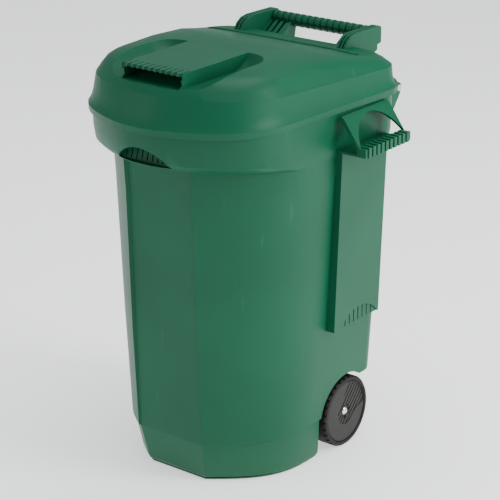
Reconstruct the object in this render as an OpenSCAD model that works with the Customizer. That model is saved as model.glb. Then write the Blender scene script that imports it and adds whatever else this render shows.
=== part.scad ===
// Two-wheeled household waste bin with a hinged lid, side handles and a pull handle.
// Millimetres, +Z up, front faces -Y, origin at the centre of the footprint on the floor.

/* [Body] */
// height added to the body between the base and the collar
raise = 0; // [-60:5:60]
// tub wall thickness
wall = 3.6; // [2.6:0.1:4.4]
// half width of the flat front panel
panel_half = 81; // [70:1:90]
// depth of the recess of the front panel
panel_recess = 7; // [3:0.5:9]
// extra half width of the whole bin
widen = 0; // [-12:1:14]

/* [Lid] */
// lid wall thickness
lid_wall = 3; // [2.2:0.1:3.8]
// half width of the front grip
grip_half = 72; // [58:1:84]
// number of teeth on the front grip
grip_teeth = 10; // [6:1:12]
// half length of the pull bar between its arms
bar_half = 117; // [95:1:130]
// number of ribs on the pull bar
bar_ribs = 15; // [9:1:19]

/* [Side handles] */
// length of the side handle along the bin
side_len = 154; // [120:1:160]
// how far the side handle stands out of the side panel
side_out = 56; // [46:1:66]
// number of ribs on each side handle
side_ribs = 10; // [6:1:12]

/* [Wheels] */
// wheel diameter
wheel_d = 150; // [140:1:156]
// tread width
wheel_w = 38; // [32:1:42]
// axle diameter
axle_d = 12; // [10:0.5:14]
// radial clearance of a running fit
run_fit = 0.05; // [0.02:0.01:0.1]
// hinge pin diameter
pin_d = 8; // [6:0.5:9]

/* [Output] */
// sub-part to draw

/* [Hidden] */
$fn = 64;
tub_green = [0.16, 0.45, 0.31];
lid_green = [0.14, 0.43, 0.30];
dark_grey = [0.25, 0.24, 0.23];
tyre_grey = [0.20, 0.19, 0.18];
steel = [0.75, 0.76, 0.78];
wheel_r = wheel_d / 2;
axle_y = 112;
axle_z = wheel_r;
face_x = 200 + widen;
arch_r = wheel_r + 8;
bay_y = axle_y - arch_r;
bay_top = axle_z + arch_r + 4;
hinge_y = 262;
hinge_z = 727 + raise;
hinge_x = 190 + widen;
knuckle_w = 18;
knuckle_r = 11;
ear_w = 7;
gap = 0.5;

// ---------------------------------------------------------------- outline
// One closed plan outline. k = [front half width, front y, facet angle, side start x, side start y,
// side end x, rear y, rear radius, recess of the front panel, bow of the front]; grow moves it outwards.
function bez(a, b, c, d, t) =
  a * pow(1 - t, 3) + 3 * b * t * pow(1 - t, 2) + 3 * c * t * t * (1 - t) + d * pow(t, 3);

function half_line(k, grow) =
  let (
    kx = k[0] + grow * 0.3,
    ky = k[1] - grow,
    sx = k[3] + widen + grow,
    sy = k[4],
    rx = k[5] + widen + grow,
    ry = k[6] + grow,
    rr = k[7] + grow * 0.5,
    rec = k[8],
    span = norm([sx - kx, sy - ky]),
    p0 = [kx, ky],
    p3 = [sx, sy],
    p1 = p0 + 0.42 * span * [cos(k[2]), sin(k[2])],
    lean = atan2(rx - sx, ry - rr - sy),
    p2 = p3 - 0.42 * span * [sin(lean), cos(lean)]
  )
  concat(
    [for (i = [1 : 3])
      let (x = (kx - 0.2 - rec * 0.6) * i / 3)
      [x, ky + rec - k[9] * kx * tan(k[2]) / 2 * (1 - pow(x / kx, 2))]],
    [for (i = [0 : 12]) bez(p0, p1, p2, p3, i / 12)],
    [for (i = [1 : 2]) p3 + ([rx, ry - rr] - p3) * i / 3],
    [for (i = [0 : 6]) [rx - rr + rr * cos(i * 15), ry - rr + rr * sin(i * 15)]]
  );

function outline(k, grow) =
  let (h = half_line(k, grow), n = len(h))
  concat(h, [for (i = [n - 1 : -1 : 0]) [-h[i][0], h[i][1]]]);

// A ring lifts an outline to a height that may differ at the front, the sides and the back.
function ring(l, grow, drop = 0) =
  let (o = outline(l[2], grow), back = is_undef(l[3]) ? l[1] : l[3])
  [for (p = o)
    let (
      f = (1 - cos(180 * min(1, max(0, (p[1] + 285) / 300)))) / 2,
      g = (1 - cos(180 * min(1, max(0, p[1] / 190)))) / 2
    )
    [p[0], p[1], l[0] + (l[1] - l[0]) * f + (back - l[1]) * g - drop]];

// Skin over a stack of rings, closed at both ends.
module skin(rings) {
  n = len(rings[0]);
  m = len(rings);
  top = rings[m - 1];
  // the top closes on a point over the middle of the last ring
  points = concat([for (r = rings) for (p = r) p], [[0, 0, max([for (p = top) p[2]])]]);
  faces = concat(
    [[for (i = [0 : n - 1]) i]],
    [for (i = [0 : n - 1]) [(m - 1) * n + (i + 1) % n, (m - 1) * n + i, m * n]],
    [for (j = [0 : m - 2]) for (i = [0 : n - 1])
      let (a = j * n + i, b = j * n + (i + 1) % n)
      each [[a, a + n, b], [b, a + n, b + n]]]
  );
  polyhedron(points = points, faces = faces, convexity = 8);
}

// Draws its children on the right and mirrored on the left.
module both() {
  children();
  mirror([1, 0, 0]) children();
}

// ---------------------------------------------------------------- tub
// height at the front, height at the sides, outline
tub_levels = [
  [0, 0, [panel_half - 14, -184, 36, 181, 0, 181, 208, 36, 0, 0.012]],
  [12, 12, [panel_half - 10, -192, 35, 188, 2, 188, 213, 40, 0, 0.012]],
  [84, 84, [panel_half - 2, -207, 34, 190.5, 4, 190.5, 216, 40, 0, 0.012]],
  [88, 88, [panel_half, -211, 34, 195, 4, 194, 218, 40, panel_recess * 0.5, 0.012]],
  [300, 300, [panel_half, -223, 33, 204, 2, 202, 226, 42, panel_recess * 0.8, 0.012]],
  [590 + raise, 590 + raise, [panel_half, -233, 32, 218, -4, 215, 235, 44, panel_recess, 0.012]],
  [656 + raise, 640 + raise, [panel_half, -238, 32, 219, -10, 219, 237, 46, panel_recess, 0.012]],
  [661 + raise, 644 + raise, [panel_half - 6, -255, 28, 218, -40, 223, 238, 48, 0, 0.3]],
  [666 + raise, 649 + raise, [panel_half - 14, -267, 22, 217, -80, 227, 239, 50, 0, 1]],
  [674 + raise, 660 + raise, [panel_half - 20, -275, 19, 216, -104, 229, 240, 52, 0, 1]],
  [700 + raise, 700 + raise, [panel_half - 22, -280, 18, 215, -113, 230, 241, 54, 0, 1]],
  [742 + raise, 742 + raise, [panel_half - 23, -282, 17, 214, -116, 230, 242, 54, 0, 1]]
];

module tub_outer() {
  skin([for (l = tub_levels) ring(l, 0)]);
}

// The inside follows the outside at wall thickness, above the floor.
module tub_inner() {
  k0 = tub_levels[1][2];
  k1 = tub_levels[2][2];
  pick = [for (i = [3 : 11]) tub_levels[i]];
  inner = concat(
    [[wall + 1, wall + 1, k0], [84, 84, k1]],
    [for (l = pick)
      let (k = l[2])
      [l[0] + (l[0] > 650 + raise && l[0] < 690 + raise ? wall + 3 : 0),
       l[1] + (l[0] > 650 + raise && l[0] < 690 + raise ? wall + 3 : 0),
       k]],
    [[760 + raise, 760 + raise, tub_levels[11][2]]]
  );
  difference() {
    skin([for (l = inner) ring(l, -wall)]);
    // raised floor over the wheels and the axle
    translate([-300, bay_y - wall - 1, -10]) cube([600, 400, bay_top + wall + 10]);
  }
}

// Rounded-top arch as a flat 2D shape: chord along X at the bottom.
module arch_shape(half, rise) {
  r = (half * half + rise * rise) / (2 * rise);
  intersection() {
    translate([0, rise - r]) circle(r = r, $fn = 128);
    translate([-half, 0]) square([2 * half, rise + 1]);
  }
}

// Ribbed arch that breaks the collar above the front panel.
front_arch = 64;
front_rise = 33;
module front_arch_block(grow) {
  translate([0, -200, 667 + raise - grow])
    rotate([90, 0, 0])
      linear_extrude(120)
        arch_shape(front_arch + grow, front_rise + grow * 1.5);
}

module front_arch_cut() {
  // sloping back of the niche
  intersection() {
    front_arch_block(0);
    translate([-100, -268, 655 + raise]) rotate([-16, 0, 0]) translate([0, -60, -30]) cube([200, 60, 80]);
  }
  for (i = [-4 : 4])
    intersection() {
      front_arch_block(-2.2);
      translate([i * 12.5 - 1.3, -268, 655 + raise])
        rotate([-16, 0, 0]) translate([0, -60, -30]) cube([2.6, 67, 80]);
    }
}

// Raised side panel below each handle, with its ribbed arch at the bottom.
pil_bot = 281;
pil_top = 657 + raise;
pil_y0 = 31;
pil_y1 = 186;
module side_panel_solid(grow, in_bot, in_top) {
  translate([0, pil_y1 + grow, 0])
    rotate([90, 0, 0])
      linear_extrude(pil_y1 - pil_y0 + 2 * grow)
        polygon([
          [in_bot + widen, pil_bot - grow],
          [222 + widen + grow, pil_bot - grow],
          [234 + widen + grow, pil_top + grow],
          [in_top + widen, pil_top + grow]
        ]);
}

// The hollow behind the raised panel, which opens into the tub above the ribbed arch.
module side_panel_hollow() {
  difference() {
    side_panel_solid(-wall, 190, 200);
    translate([180, pil_y0 - 10, pil_bot - 10]) cube([90, 200, 44]);
  }
}

module side_arch_block(d, x0) {
  translate([x0 + widen, (pil_y0 + pil_y1) / 2 + 8, pil_bot - 1 + d])
    rotate([90, 0, 90])
      linear_extrude(60)
        arch_shape(66 - d, 33 - 1.5 * d);
}

module side_arch_cut() {
  side_arch_block(0, 219.5);
  for (i = [-3 : 3])
    intersection() {
      side_arch_block(2.2, 212);
      translate([200 + widen, (pil_y0 + pil_y1) / 2 + 8 + i * 15 - 1.4, pil_bot - 5]) cube([60, 2.8, 60]);
    }
}

// Side handle: shelf, ribbed bar and a sloping plate with an arched opening.
han_y0 = 26;
han_x = 234;
han_z = 655;
module side_handle() {
  han_xo = han_x + side_out + widen;
  hz = han_z + raise;
  // shelf
  translate([215 + widen, han_y0, hz]) cube([han_xo - 219 - widen, side_len, 4]);
  // bar
  translate([han_xo - 20, han_y0, hz]) cube([20, side_len, 17]);
  // ribs round the bar
  pitch = (side_len - 10) / side_ribs;
  for (i = [0 : side_ribs - 1])
    translate([han_xo - 19, han_y0 + 5 + pitch * (i + 0.2), hz - 1]) cube([21.5, pitch * 0.6, 20]);
  // sloping plate
  difference() {
    translate([0, han_y0 + side_len, 0])
      rotate([90, 0, 0])
        linear_extrude(side_len)
          polygon([
            [228 + widen, 722 + raise],
            [233 + widen, 727 + raise],
            [240 + widen, 722 + raise],
            [han_xo - 14, hz + 17],
            [han_xo - 20, hz + 16]
          ]);
    translate([228 + widen, han_y0 + side_len / 2 + 2, hz + 16])
      rotate([90, 0, 90])
        linear_extrude(80)
          arch_shape(side_len / 2 - 3, 50);
  }
}

// Ears that carry the hinge pins at the back of the tub.
module ear(x, root_y) {
  translate([x + ear_w / 2, 0, 0])
    rotate([0, -90, 0])
      linear_extrude(ear_w)
        difference() {
          union() {
            translate([hinge_z, hinge_y]) circle(r = knuckle_r);
            polygon([
              [hinge_z - 62, root_y],
              [hinge_z - 6, root_y],
              [hinge_z - 4, hinge_y - 10],
              [hinge_z - 4, hinge_y + 10.2],
              [hinge_z - 14, hinge_y + 6]
            ]);
          }
          translate([hinge_z, hinge_y]) circle(d = pin_d - 0.02);
        }
}

// Bearing plates that hold the axle under the raised floor.
module axle_bearing(x) {
  translate([x - 5, 0, 0])
      rotate([90, 0, 90])
        linear_extrude(10)
          union() {
            translate([axle_y, axle_z]) circle(r = axle_d / 2 + 9);
            polygon([
              [bay_y - 2, bay_top + 2],
              [bay_y - 2, axle_z + 10],
              [axle_y - axle_d / 2 - 8, axle_z - 4],
              [axle_y + axle_d / 2 + 8, axle_z - 4],
              [axle_y + axle_d / 2 + 26, bay_top + 2]
            ]);
          }
}

module tub() {
  color(tub_green)
    difference() {
      union() {
        difference() {
          tub_outer();
          difference() {
            tub_inner();
            // wall behind the ribbed arch of the front
            intersection() {
              front_arch_block(4);
              translate([-110, -264.5, 640 + raise]) rotate([-16, 0, 0]) translate([0, -60, -30]) cube([220, 73, 90]);
            }
          }
          both() side_panel_hollow();
          front_arch_cut();
          // wheel and axle bay across the back of the base
          translate([-300, bay_y, -5]) cube([600, 400, axle_z + 5]);
          translate([-300, axle_y, -5]) cube([600, 300, 146]);
          translate([-300, axle_y, axle_z]) rotate([0, 90, 0]) cylinder(r = arch_r, h = 600, $fn = 128);
        }
        both() difference() {
          side_panel_solid(0, 201.5, 216.5);
          side_panel_hollow();
          side_arch_cut();
        }
        for (x = [-146 - widen, -56, 56, 146 + widen]) axle_bearing(x);
        // bosses that the wheel hubs run against
        for (s = [-1, 1])
          translate([s * (face_x - wheel_w - 12) - 11.6, axle_y, axle_z])
            rotate([0, 90, 0]) cylinder(r = axle_d / 2 + 7, h = 23.2);
        both() {
          side_handle();
          ear(hinge_x - knuckle_w / 2 - gap - ear_w / 2, 238.5);
          ear(hinge_x + knuckle_w / 2 + gap + ear_w / 2, 230.8);
        }
      }
      translate([-200 - widen, axle_y, axle_z]) rotate([0, 90, 0]) cylinder(d = axle_d + 0.1, h = 400 + 2 * widen);
    }
}

// ---------------------------------------------------------------- lid
lid_rim = 731.5 + raise;
// height at the front, height at the sides, outline, height at the back
function lid_level(zf, zs, zb, inset, more) =
  let (k = [56, -293, 17, 219, -116, 236, 250, 54])
  [zf + raise, zs + raise,
   [k[0] + more[0], k[1] + more[1], k[2], k[3] - inset, k[4], k[5] - inset, k[6] - more[2], k[7], 0, 1],
   zb + raise];

lid_levels = [
  lid_level(731.5, 731.5, 731.5, 1, [0, 0, 0]),
  lid_level(744, 744, 744, 0, [0, -1, 0]),
  lid_level(749, 749, 749, 3.5, [0.5, 3.5, 2.5]),
  lid_level(757, 757, 757, 6.5, [1, 9, 4]),
  lid_level(770, 770, 770, 8.5, [2, 15, 4.5]),
  lid_level(799, 791, 785, 10, [4, 27, 5]),
  lid_level(801.5, 793.5, 786.5, 11.8, [4.3, 29.5, 6]),
  lid_level(814, 811, 797, 20.5, [4.5, 41.5, 17]),
  lid_level(823, 824, 804.5, 28.5, [4, 52, 28]),
  lid_level(829, 830.5, 808, 38, [2, 64, 38]),
  lid_level(833.5, 835, 809.5, 50, [-1, 78.5, 50]),
  lid_level(837, 838.5, 811, 72, [-6, 103, 72]),
  lid_level(839.5, 841, 812, 105, [-14, 139, 100]),
  lid_level(841, 841.8, 812, 145, [-25, 181, 134])
];
// how far each inner ring lies below its outer one
lid_drops = [0, 0, 0, 0, 1, 1, 1.5, 2.2, 3, 3, 3, 3, 3, 3];

module lid_outer() {
  skin([for (l = lid_levels) ring(l, 0)]);
}

module lid_inner() {
  k = lid_levels[1][2];
  // a ledge runs round the inside and sits just above the tub's rim
  h = 742 + raise + 0.3;
  skin(concat(
    [ring([720 + raise, 720 + raise, k], -lid_wall - 1)],
    [ring([h, h, k], -lid_wall - 1)],
    [ring([h + 0.02, h + 0.02, k], -lid_wall - 12)],
    [ring([h + 3, h + 3, k], -lid_wall - 12)],
    [ring([h + 3.02, h + 3.02, k], -lid_wall - 4)],
    [for (i = [4 : 13]) ring(lid_levels[i], -lid_wall, lid_drops[i] * lid_wall / 3)]
  ));
}

// Hollows in the dome on both sides of the grip.
scoop_r = 56;
module scoop(grow) {
  translate([grip_half + 12, 0, 812 + raise + scoop_r]) {
    rotate([90, 0, 0]) translate([0, 0, 100]) cylinder(r = scoop_r + grow, h = 280, $fn = 96);
    translate([0, -100, 0]) sphere(r = scoop_r + grow, $fn = 96);
  }
}

module scoops(grow) {
  both()
    intersection() {
      scoop(grow);
      translate([grip_half - grow, -400, 700 + raise]) cube([200, 500, 300]);
    }
}

// Flat strip that runs forward out of the dome and ends in a toothed grip.
grip_y = -246;
grip_z = 841 + raise;
grip_len = 200;
module grip() {
  pitch = 2 * (grip_half - 4) / grip_teeth;
  difference() {
    translate([grip_half, 0, 0])
      rotate([90, 0, -90])
        linear_extrude(2 * grip_half)
          polygon([
            [-grip_y, grip_z],
            [-grip_y, grip_z - 6],
            [-grip_y - 3, grip_z - 23],
            [-grip_y - 40, grip_z - 20],
            [-grip_y - grip_len, grip_z - 8],
            [-grip_y - grip_len, grip_z]
          ]);
    for (i = [0 : grip_teeth])
      translate([-grip_half + 4 + pitch * i, grip_y, grip_z - 12]) cylinder(d = pitch * 0.6, h = 20, $fn = 32);
    for (i = [0 : grip_teeth])
      translate([-grip_half + 4 + pitch * i - 1.4, grip_y - 1, grip_z - 3]) cube([2.8, 27, 6]);
  }
}

// Finger pocket under the front of the strip.
module finger_pocket(grow) {
  translate([grip_half - 4 + grow, 0, 0])
    rotate([90, 0, -90])
      linear_extrude(2 * (grip_half - 4 + grow))
        polygon([
          [-grip_y + 14, grip_z - 6],
          [-grip_y + 14, grip_z - 29 - grow],
          [-grip_y - 22 - grow, grip_z - 29 - grow],
          [-grip_y - 44 - grow, grip_z - 20],
          [-grip_y - 52 - grow, grip_z - 6]
        ]);
}

// Pull handle at the back: two arms, a ribbed bar and slotted webs.
pull_y = 302;
pull_z = 834 + raise;
arm_w = 20;
web_half = 66;
module arm_profile() {
  polygon([
    [172, 790 + raise],
    [172, 809 + raise],
    [182, 824 + raise],
    [196, 833 + raise],
    [216, pull_z + 2],
    [pull_y - 4, pull_z + 1],
    [pull_y, pull_z - 3],
    [pull_y, pull_z - 33],
    [pull_y - 13, pull_z - 36],
    [pull_y - 13, pull_z - 46],
    [236, 770 + raise],
    [220, 785 + raise]
  ]);
}

module arm() {
  difference() {
    translate([bar_half, 0, 0])
      rotate([90, 0, 90])
        linear_extrude(arm_w)
          arm_profile();
    for (i = [0, 1])
      translate([bar_half + 4.8 + i * 7.6, 0, 0])
        rotate([90, 0, 90])
          linear_extrude(2.8)
            difference() {
              translate([160, 812 + raise]) square([pull_y - 174, 60]);
              translate([5, -5]) offset_profile();
            }
  }
}

module offset_profile() {
  polygon([
    [172, 780 + raise],
    [172, 809 + raise],
    [182, 824 + raise],
    [196, 833 + raise],
    [216, pull_z + 2],
    [pull_y, pull_z + 1],
    [pull_y, 770 + raise]
  ]);
}

module pull_bar() {
  pitch = 2 * bar_half / bar_ribs;
  translate([-bar_half - 2, pull_y - 14, pull_z - 14]) rotate([0, 90, 0]) cylinder(r = 11, h = 2 * bar_half + 4);
  for (i = [0 : bar_ribs - 1])
    translate([-bar_half + pitch * (i + 0.5) - 3.75, pull_y - 14, pull_z - 14]) rotate([0, 90, 0]) cylinder(r = 13.8, h = 7.5);
  // webs under the ends of the bar
  both()
    difference() {
      translate([web_half, 0, 0])
        rotate([90, 0, 90])
          linear_extrude(bar_half - web_half + 1)
            polygon([
              [pull_y - 20, pull_z - 14],
              [pull_y - 8, pull_z - 20],
              [pull_y - 16, 778 + raise],
              [234, 770 + raise],
              [234, 790 + raise]
            ]);
      for (i = [0 : 2])
        translate([web_half + 13 + i * 14, 200, 796 + raise]) cube([6, 82, 60]);
    }
}

module lid_knuckle() {
  translate([hinge_x + knuckle_w / 2, 0, 0])
    rotate([0, -90, 0])
      linear_extrude(knuckle_w)
        difference() {
          union() {
            translate([hinge_z, hinge_y]) circle(r = knuckle_r);
            polygon([
              [hinge_z + 1, hinge_y + knuckle_r - 0.1],
              [hinge_z + 14, hinge_y + 5],
              [hinge_z + 27, 247.5],
              [hinge_z + 9, 247.5],
              [hinge_z + 5, hinge_y - 9.7]
            ]);
          }
          translate([hinge_z, hinge_y]) circle(d = pin_d + 2 * run_fit);
        }
}

module lid() {
  color(lid_green)
    difference() {
      union() {
        difference() {
          union() {
            difference() {
              lid_outer();
              scoops(0);
            }
            grip();
            both() arm();
            pull_bar();
          }
          difference() {
            lid_inner();
            scoops(lid_wall);
            finger_pocket(lid_wall);
          }
          finger_pocket(0);
        }
        both() lid_knuckle();
      }
    }
}

// ---------------------------------------------------------------- running gear
hub_r = 17;
disc_r = wheel_r * 0.86;
rotor_gap = 0.4;

module axle() {
  color(steel)
    translate([-(face_x - 3), axle_y, axle_z]) rotate([0, 90, 0]) cylinder(d = axle_d, h = 2 * (face_x - 3));
}

// Wheel disc drawn about its own axis along Z, outer face at z = 0.
module disc_body() {
  difference() {
    rotate_extrude($fn = 128)
      polygon([
        [axle_d / 2 + run_fit, -5.2],
        [hub_r - 5, -5.2],
        [hub_r, -1.5],
        [disc_r - 1.5, -1.5],
        [disc_r, -3],
        [disc_r, -wheel_w + 3],
        [disc_r - 6, -wheel_w + 3],
        [disc_r - 6, -10],
        [hub_r, -10],
        [hub_r, -wheel_w],
        [axle_d / 2 + run_fit, -wheel_w]
      ]);
    // keyhole recess that widens from the hub to the rim, between ribs
    difference() {
      intersection() {
        translate([0, 0, -7])
          linear_extrude(12)
            union() {
              circle(r = 28);
              polygon([[-14, 24], [70, 36], [70, -52], [44, -46], [18, -30], [0, -27]]);
            }
        translate([0, 0, -20]) cylinder(r = disc_r - 2.5, h = 40, $fn = 128);
      }
      translate([0, 0, -20]) cylinder(r = 10.5, h = 40);
      for (i = [-5 : 3])
        translate([-30, i * 9.4 + 1.2, -20]) cube([120, 6.6, 17.6]);
    }
  }
}

module tyre_body() {
  difference() {
    rotate_extrude($fn = 128)
      polygon([
        [disc_r, -3],
        [disc_r + 1.5, 0],
        [wheel_r - 3, 0],
        [wheel_r, -3.5],
        [wheel_r, -wheel_w + 3.5],
        [wheel_r - 3, -wheel_w],
        [disc_r + 1.5, -wheel_w],
        [disc_r, -wheel_w + 3]
      ]);
    for (i = [0 : 29]) rotate([0, 0, i * 12]) {
      translate([wheel_r - 2.2, -2.4, -10]) cube([6, 4.8, 12]);
      rotate([0, 0, 6]) translate([wheel_r - 2.2, -2.4, -wheel_w - 2]) cube([6, 4.8, 12]);
    }
  }
}

// Puts a wheel part on the axle, s = 1 right, s = -1 left.
module on_axle(s) {
  if (s > 0)
    translate([face_x, axle_y, axle_z]) rotate([0, 90, 0]) rotate([0, 0, 138]) children();
  else
    mirror([1, 0, 0])
      translate([face_x, axle_y, axle_z]) rotate([0, 90, 0]) rotate([0, 0, 138]) children();
}

// Domed push-on cap with a socket for the axle's end.
module cap_body() {
  r = axle_d / 2;
  rotate_extrude()
    polygon([
      [0, -0.4],
      [r * 0.5, -0.8],
      [r * 0.9, -2],
      [r + 2, -4.2],
      [r + 2, -4.9],
      [r - 0.01, -4.9],
      [r - 0.01, -3],
      [0, -3]
    ]);
}

module hinge_pin() {
  h = knuckle_w + 2 * gap + 2 * ear_w;
  color(steel)
    translate([hinge_x - h / 2 - 1, hinge_y, hinge_z])
      rotate([0, 90, 0]) {
        cylinder(d = pin_d, h = h + 3);
        translate([0, 0, h + 1.02]) cylinder(d = pin_d + 5, h = 2.5);
      }
}

module wheel_disc_right() { color(dark_grey) on_axle(1) disc_body(); }
module wheel_disc_left() { color(dark_grey) on_axle(-1) disc_body(); }
module tyre_right() { color(tyre_grey) on_axle(1) tyre_body(); }
module tyre_left() { color(tyre_grey) on_axle(-1) tyre_body(); }
module axle_cap_right() { color(steel) on_axle(1) cap_body(); }
module axle_cap_left() { color(steel) on_axle(-1) cap_body(); }
module hinge_pin_right() { hinge_pin(); }
module hinge_pin_left() { mirror([1, 0, 0]) hinge_pin(); }

tub();
lid();
axle();
wheel_disc_left();
wheel_disc_right();
tyre_left();
tyre_right();
axle_cap_left();
axle_cap_right();
hinge_pin_left();
hinge_pin_right();
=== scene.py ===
import math

import bmesh
import bpy
from mathutils import Matrix, Vector
from mathutils.bvhtree import BVHTree


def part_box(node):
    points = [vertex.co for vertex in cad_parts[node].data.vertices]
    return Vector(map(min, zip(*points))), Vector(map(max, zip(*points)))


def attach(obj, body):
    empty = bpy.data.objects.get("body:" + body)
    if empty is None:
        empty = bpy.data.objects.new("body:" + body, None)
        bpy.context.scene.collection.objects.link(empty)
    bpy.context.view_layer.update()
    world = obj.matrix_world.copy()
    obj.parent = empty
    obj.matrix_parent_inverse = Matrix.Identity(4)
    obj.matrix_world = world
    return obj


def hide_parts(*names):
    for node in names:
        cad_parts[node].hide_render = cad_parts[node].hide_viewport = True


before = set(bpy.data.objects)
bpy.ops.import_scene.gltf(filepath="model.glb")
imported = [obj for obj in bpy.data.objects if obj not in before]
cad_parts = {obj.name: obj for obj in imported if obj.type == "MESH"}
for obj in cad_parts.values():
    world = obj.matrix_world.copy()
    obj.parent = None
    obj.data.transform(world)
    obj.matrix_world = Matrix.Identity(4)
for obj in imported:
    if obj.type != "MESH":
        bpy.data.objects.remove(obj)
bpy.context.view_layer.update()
scene = bpy.context.scene

# ---------------------------------------------------------------- studio
# A plain pale floor under a white sky, with three large soft panels of light, as in a
# product studio. The camera stands to the right of the front corner, above the lid.
eye = Vector((2.1233, -2.7307, 1.7120))
aim = Vector((0.22901, -0.2510, 0.54169))
camera = bpy.data.objects.new("camera", bpy.data.cameras.new("camera"))
camera.data.sensor_width = 36
camera.data.lens = 133.19
camera.data.clip_end = 60
camera.location = eye
camera.rotation_euler = (aim - eye).to_track_quat("-Z", "Y").to_euler()
scene.collection.objects.link(camera)
scene.camera = camera

sky = bpy.data.worlds.new("studio_sky")
sky.use_nodes = True
sky.node_tree.nodes["Background"].inputs["Color"].default_value = (0.93, 0.96, 1.0, 1)
sky.node_tree.nodes["Background"].inputs["Strength"].default_value = 0.50
scene.world = sky

bm = bmesh.new()
bmesh.ops.create_grid(bm, x_segments=1, y_segments=1, size=12)
floor_mesh = bpy.data.meshes.new("studio_floor")
bm.to_mesh(floor_mesh)
bm.free()
floor = bpy.data.objects.new("studio_floor", floor_mesh)
scene.collection.objects.link(floor)
paper = bpy.data.materials.new("floor_paper")
paper.use_nodes = True
paper_shader = paper.node_tree.nodes["Principled BSDF"]
paper_shader.inputs["Base Color"].default_value = (0.97, 0.975, 0.98, 1)
paper_shader.inputs["Roughness"].default_value = 0.9
paper_shader.inputs["Specular IOR Level"].default_value = 0.1
paper_shader.inputs["Emission Color"].default_value = (0.98, 0.99, 1.0, 1)
paper_shader.inputs["Emission Strength"].default_value = 0.8
floor.data.materials.append(paper)

for title, place, reach, watts in (
        ("right_panel", (3.4, 0.9, 2.0), (1.6, 2.4), 128),
        ("front_panel", (-2.6, -3.2, 2.0), (2.2, 2.2), 26),
        ("top_panel", (0.2, 0.4, 3.6), (2.4, 2.4), 76)):
    panel = bpy.data.lights.new(title, "AREA")
    panel.shape = "RECTANGLE"
    panel.size, panel.size_y = reach
    panel.energy = watts
    lamp = bpy.data.objects.new(title, panel)
    lamp.location = place
    towards_bin = Vector((0, 0, 0.4)) - Vector(place)
    lamp.rotation_euler = towards_bin.to_track_quat("-Z", "Y").to_euler()
    scene.collection.objects.link(lamp)


# ---------------------------------------------------------------- tub
# The tub is one green polyethylene moulding, 3.6 mm thick: the body, the rolled collar,
# both side handles and the hinge ears come out of the tool together, with a fine matt grain.
class Wire:
    """A socket of a material that can be added, multiplied and compared."""

    def __init__(self, finish, socket):
        self.finish = finish
        self.socket = socket

    def math(self, operation, *others):
        return self.finish.node("ShaderNodeMath", {"operation": operation},
                                dict(enumerate((self, *others))))

    def __add__(self, other):
        return self.math("ADD", other)

    def __mul__(self, other):
        return self.math("MULTIPLY", other)

    def __rsub__(self, other):
        return self.finish.node("ShaderNodeMath", {"operation": "SUBTRACT"}, {0: other, 1: self})

    __radd__ = __add__

    def between(self, low, high):
        """0 below low, 1 above high, smooth in the middle."""
        return self.finish.node("ShaderNodeMapRange", {"interpolation_type": "SMOOTHSTEP"},
                                {"Value": self, "From Min": low, "From Max": high})


class Finish:
    """A material with one principled shader, built node by node."""

    def __init__(self, name, **constants):
        self.material = bpy.data.materials.new(name)
        self.material.use_nodes = True
        self.tree = self.material.node_tree
        self.shader = self.tree.nodes["Principled BSDF"]
        for socket, value in constants.items():
            self.shader.inputs[socket.replace("_", " ")].default_value = value

    def node(self, kind, settings=None, inputs=None, output=0):
        made = self.tree.nodes.new(kind)
        for name, value in (settings or {}).items():
            setattr(made, name, value)
        for name, value in (inputs or {}).items():
            self.plug(made.inputs[name], value)
        return Wire(self, made.outputs[output])

    def plug(self, socket, value):
        if isinstance(value, Wire):
            self.tree.links.new(value.socket, socket)
        else:
            socket.default_value = value

    def feed(self, **links):
        for name, value in links.items():
            self.plug(self.shader.inputs[name.replace("_", " ")], value)

    def noise(self, scale, detail=2.0, stretch=(1, 1, 1), where=(0, 0, 0)):
        place = self.node("ShaderNodeTexCoord", output="Object")
        turned = self.node("ShaderNodeMapping", {},
                           {"Vector": place, "Scale": stretch, "Location": where})
        return self.node("ShaderNodeTexNoise", {}, {"Vector": turned, "Scale": scale, "Detail": detail})

    def height(self):
        place = self.node("ShaderNodeTexCoord", output="Object")
        return self.node("ShaderNodeSeparateXYZ", {}, {0: place}, output=2)

    def tint(self, factor, first, second):
        return self.node("ShaderNodeMix", {"data_type": "RGBA"},
                         {0: factor, 6: first, 7: second}, output=2)

    def bump(self, height, strength, distance):
        return self.node("ShaderNodeBump", {}, {"Height": height, "Strength": strength,
                                                "Distance": distance})


def moulded_plastic(name, base, deep, pale):
    """Matt grained plastic: cloudy pigment, a few scuffs and a dusty foot."""
    finish = Finish(name, Roughness=0.4, Specular_IOR_Level=0.18)
    cloud = finish.noise(5.0, 3.0)
    grain = finish.noise(1500.0, 2.0)
    scuff = finish.noise(60.0, 4.0, (1, 1, 0.15)).between(0.66, 0.78)
    dust = 1 - finish.height().between(0.0, 0.12)
    colour = finish.tint(cloud.between(0.3, 0.7) * 0.55, base, deep)
    colour = finish.tint(scuff * 0.18 + dust * 0.10, colour, pale)
    finish.feed(Base_Color=colour,
                Roughness=0.36 + cloud * 0.08 + scuff * 0.10 + grain * 0.04,
                Normal=finish.bump(grain, 0.28, 0.0004))
    return finish.material


def copied(node, name, merge=1e-5, flat=0.6):
    """A merged copy of a CAD solid, its flat faces joined, ready for soft edges."""
    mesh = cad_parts[node].data.copy()
    bm = bmesh.new()
    bm.from_mesh(mesh)
    bmesh.ops.remove_doubles(bm, verts=bm.verts, dist=merge)
    bmesh.ops.dissolve_limit(bm, angle_limit=math.radians(flat), verts=bm.verts, edges=bm.edges,
                             use_dissolve_boundaries=False, delimit=set())
    bm.to_mesh(mesh)
    bm.free()
    mesh.materials.clear()
    piece = bpy.data.objects.new(name, mesh)
    scene.collection.objects.link(piece)
    return piece


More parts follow.
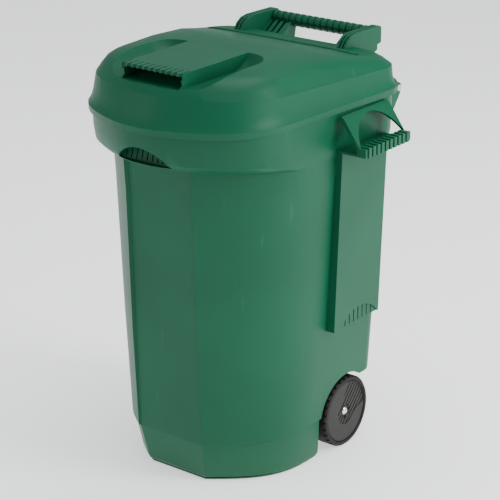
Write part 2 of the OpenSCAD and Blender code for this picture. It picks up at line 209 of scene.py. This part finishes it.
def softened(piece, radius, segments=2, sharp=32):
    """Small round edges, and shading that follows the large faces."""
    for face in piece.data.polygons:
        face.use_smooth = True
    edge = piece.modifiers.new("round_edges", "BEVEL")
    edge.width = radius
    edge.segments = segments
    edge.profile = 0.5
    edge.limit_method = "ANGLE"
    edge.angle_limit = math.radians(sharp)
    edge.harden_normals = False
    edge.use_clamp_overlap = True
    shade = piece.modifiers.new("even_shading", "WEIGHTED_NORMAL")
    shade.keep_sharp = True
    shade.weight = 80


tub_green = moulded_plastic("tub_plastic", (0.0030, 0.092, 0.042, 1), (0.0022, 0.072, 0.033, 1),
                            (0.10, 0.18, 0.11, 1))
tub = copied("tub", "tub_moulding")
tub.data.materials.append(tub_green)
softened(tub, 0.0012)
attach(tub, "tub_body")
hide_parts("tub")

# ---------------------------------------------------------------- lid
# The lid is a second moulding in the same green: a domed top with a skirt, the toothed
# hand grip in front and the ribbed pull bar behind, hinged on the tub's ears.
lid_green = moulded_plastic("lid_plastic", (0.0032, 0.094, 0.044, 1), (0.0024, 0.074, 0.035, 1),
                            (0.10, 0.18, 0.11, 1))
lid = copied("lid", "lid_moulding")
lid.data.materials.append(lid_green)
softened(lid, 0.0012, sharp=24)
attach(lid, "lid_body")
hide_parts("lid")

# ---------------------------------------------------------------- lid ridge
# A double bead moulded across the back of the dome, in front of the pull bar: it stiffens
# the top and throws rain off to the sides.
lid_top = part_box("lid")[1].z
lid_skin = BVHTree.FromPolygons([v.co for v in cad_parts["lid"].data.vertices],
                                [p.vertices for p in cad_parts["lid"].data.polygons])
ridge_half, ridge_steps, ridge_y = 0.184, 46, 0.151
bead_r, bead_apart, bead_proud = 0.0023, 0.0042, 0.0005
bm = bmesh.new()
for line in (-1, 1):
    rings = []
    for step in range(ridge_steps + 1):
        x = -ridge_half + 2 * ridge_half * step / ridge_steps
        above = Vector((x, ridge_y + line * bead_apart, lid_top + 0.05))
        hit = lid_skin.ray_cast(above, Vector((0, 0, -1)))[0]
        fade = min(1, (ridge_half - abs(x)) / 0.004 + 0.2)
        made = bmesh.ops.create_circle(bm, segments=10, radius=bead_r * fade)["verts"]
        bmesh.ops.rotate(bm, verts=made, cent=(0, 0, 0), matrix=Matrix.Rotation(math.pi / 2, 3, "Y"))
        bmesh.ops.translate(bm, verts=made, vec=(x, hit.y, hit.z + bead_proud))
        rings.append(made)
    for first, second in zip(rings, rings[1:]):
        loops = [e for ring in (first, second) for e in {e for v in ring for e in v.link_edges}
                 if all(v in ring for v in e.verts)]
        bmesh.ops.bridge_loops(bm, edges=loops)
    for end in (rings[0], rings[-1]):
        bmesh.ops.contextual_create(bm, geom=end)
bmesh.ops.recalc_face_normals(bm, faces=bm.faces)
ridge_mesh = bpy.data.meshes.new("lid_ridge")
bm.to_mesh(ridge_mesh)
bm.free()
for face in ridge_mesh.polygons:
    face.use_smooth = True
ridge_mesh.materials.append(lid_green)
ridge = bpy.data.objects.new("lid_ridge", ridge_mesh)
scene.collection.objects.link(ridge)
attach(ridge, "lid_body")

# ---------------------------------------------------------------- wheels
# Each wheel is a dark grey disc with a ribbed keyhole recess, in a solid rubber tyre. A
# bright domed cap is pushed on the end of the plated axle.
disc_grey = Finish("wheel_plastic", Roughness=0.5, Specular_IOR_Level=0.22)
cloud = disc_grey.noise(30.0, 3.0)
dirt = disc_grey.noise(90.0, 4.0).between(0.52, 0.72)
pigment = disc_grey.tint(cloud, (0.016, 0.0152, 0.0140, 1), (0.024, 0.0228, 0.0210, 1))
disc_grey.feed(Base_Color=disc_grey.tint(dirt * 0.5, pigment, (0.062, 0.055, 0.048, 1)),
               Roughness=0.5 + dirt * 0.2,
               Normal=disc_grey.bump(disc_grey.noise(900.0), 0.3, 0.0004))
tyre_grey = Finish("tyre_rubber", Roughness=0.7, Specular_IOR_Level=0.2)
dust = tyre_grey.noise(70.0, 4.0).between(0.45, 0.75)
tyre_grey.feed(Base_Color=tyre_grey.tint(dust * 0.6, (0.011, 0.0105, 0.0100, 1), (0.048, 0.043, 0.036, 1)),
               Roughness=0.62 + dust * 0.2,
               Normal=tyre_grey.bump(tyre_grey.noise(1100.0), 0.35, 0.0004))
zinc = Finish("plated_steel", Metallic=1.0, Roughness=0.35)
zinc.feed(Base_Color=zinc.tint(zinc.noise(40.0, 3.0), (0.52, 0.53, 0.54, 1), (0.66, 0.66, 0.64, 1)),
          Roughness=0.28 + zinc.noise(400.0) * 0.2)
bright = Finish("bright_cap", Metallic=1.0, Roughness=0.15)
bright.feed(Base_Color=bright.tint(bright.noise(120.0, 3.0), (0.78, 0.79, 0.80, 1), (0.88, 0.88, 0.87, 1)),
            Roughness=0.10 + bright.noise(600.0) * 0.14)
for side in ("left", "right"):
    for node, finish in (("wheel_disc_", disc_grey), ("tyre_", tyre_grey), ("axle_cap_", bright),
                         ("hinge_pin_", zinc)):
        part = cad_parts[node + side]
        part.data.materials.clear()
        part.data.materials.append(finish.material)
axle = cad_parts["axle"]
axle.data.materials.clear()
axle.data.materials.append(zinc.material)
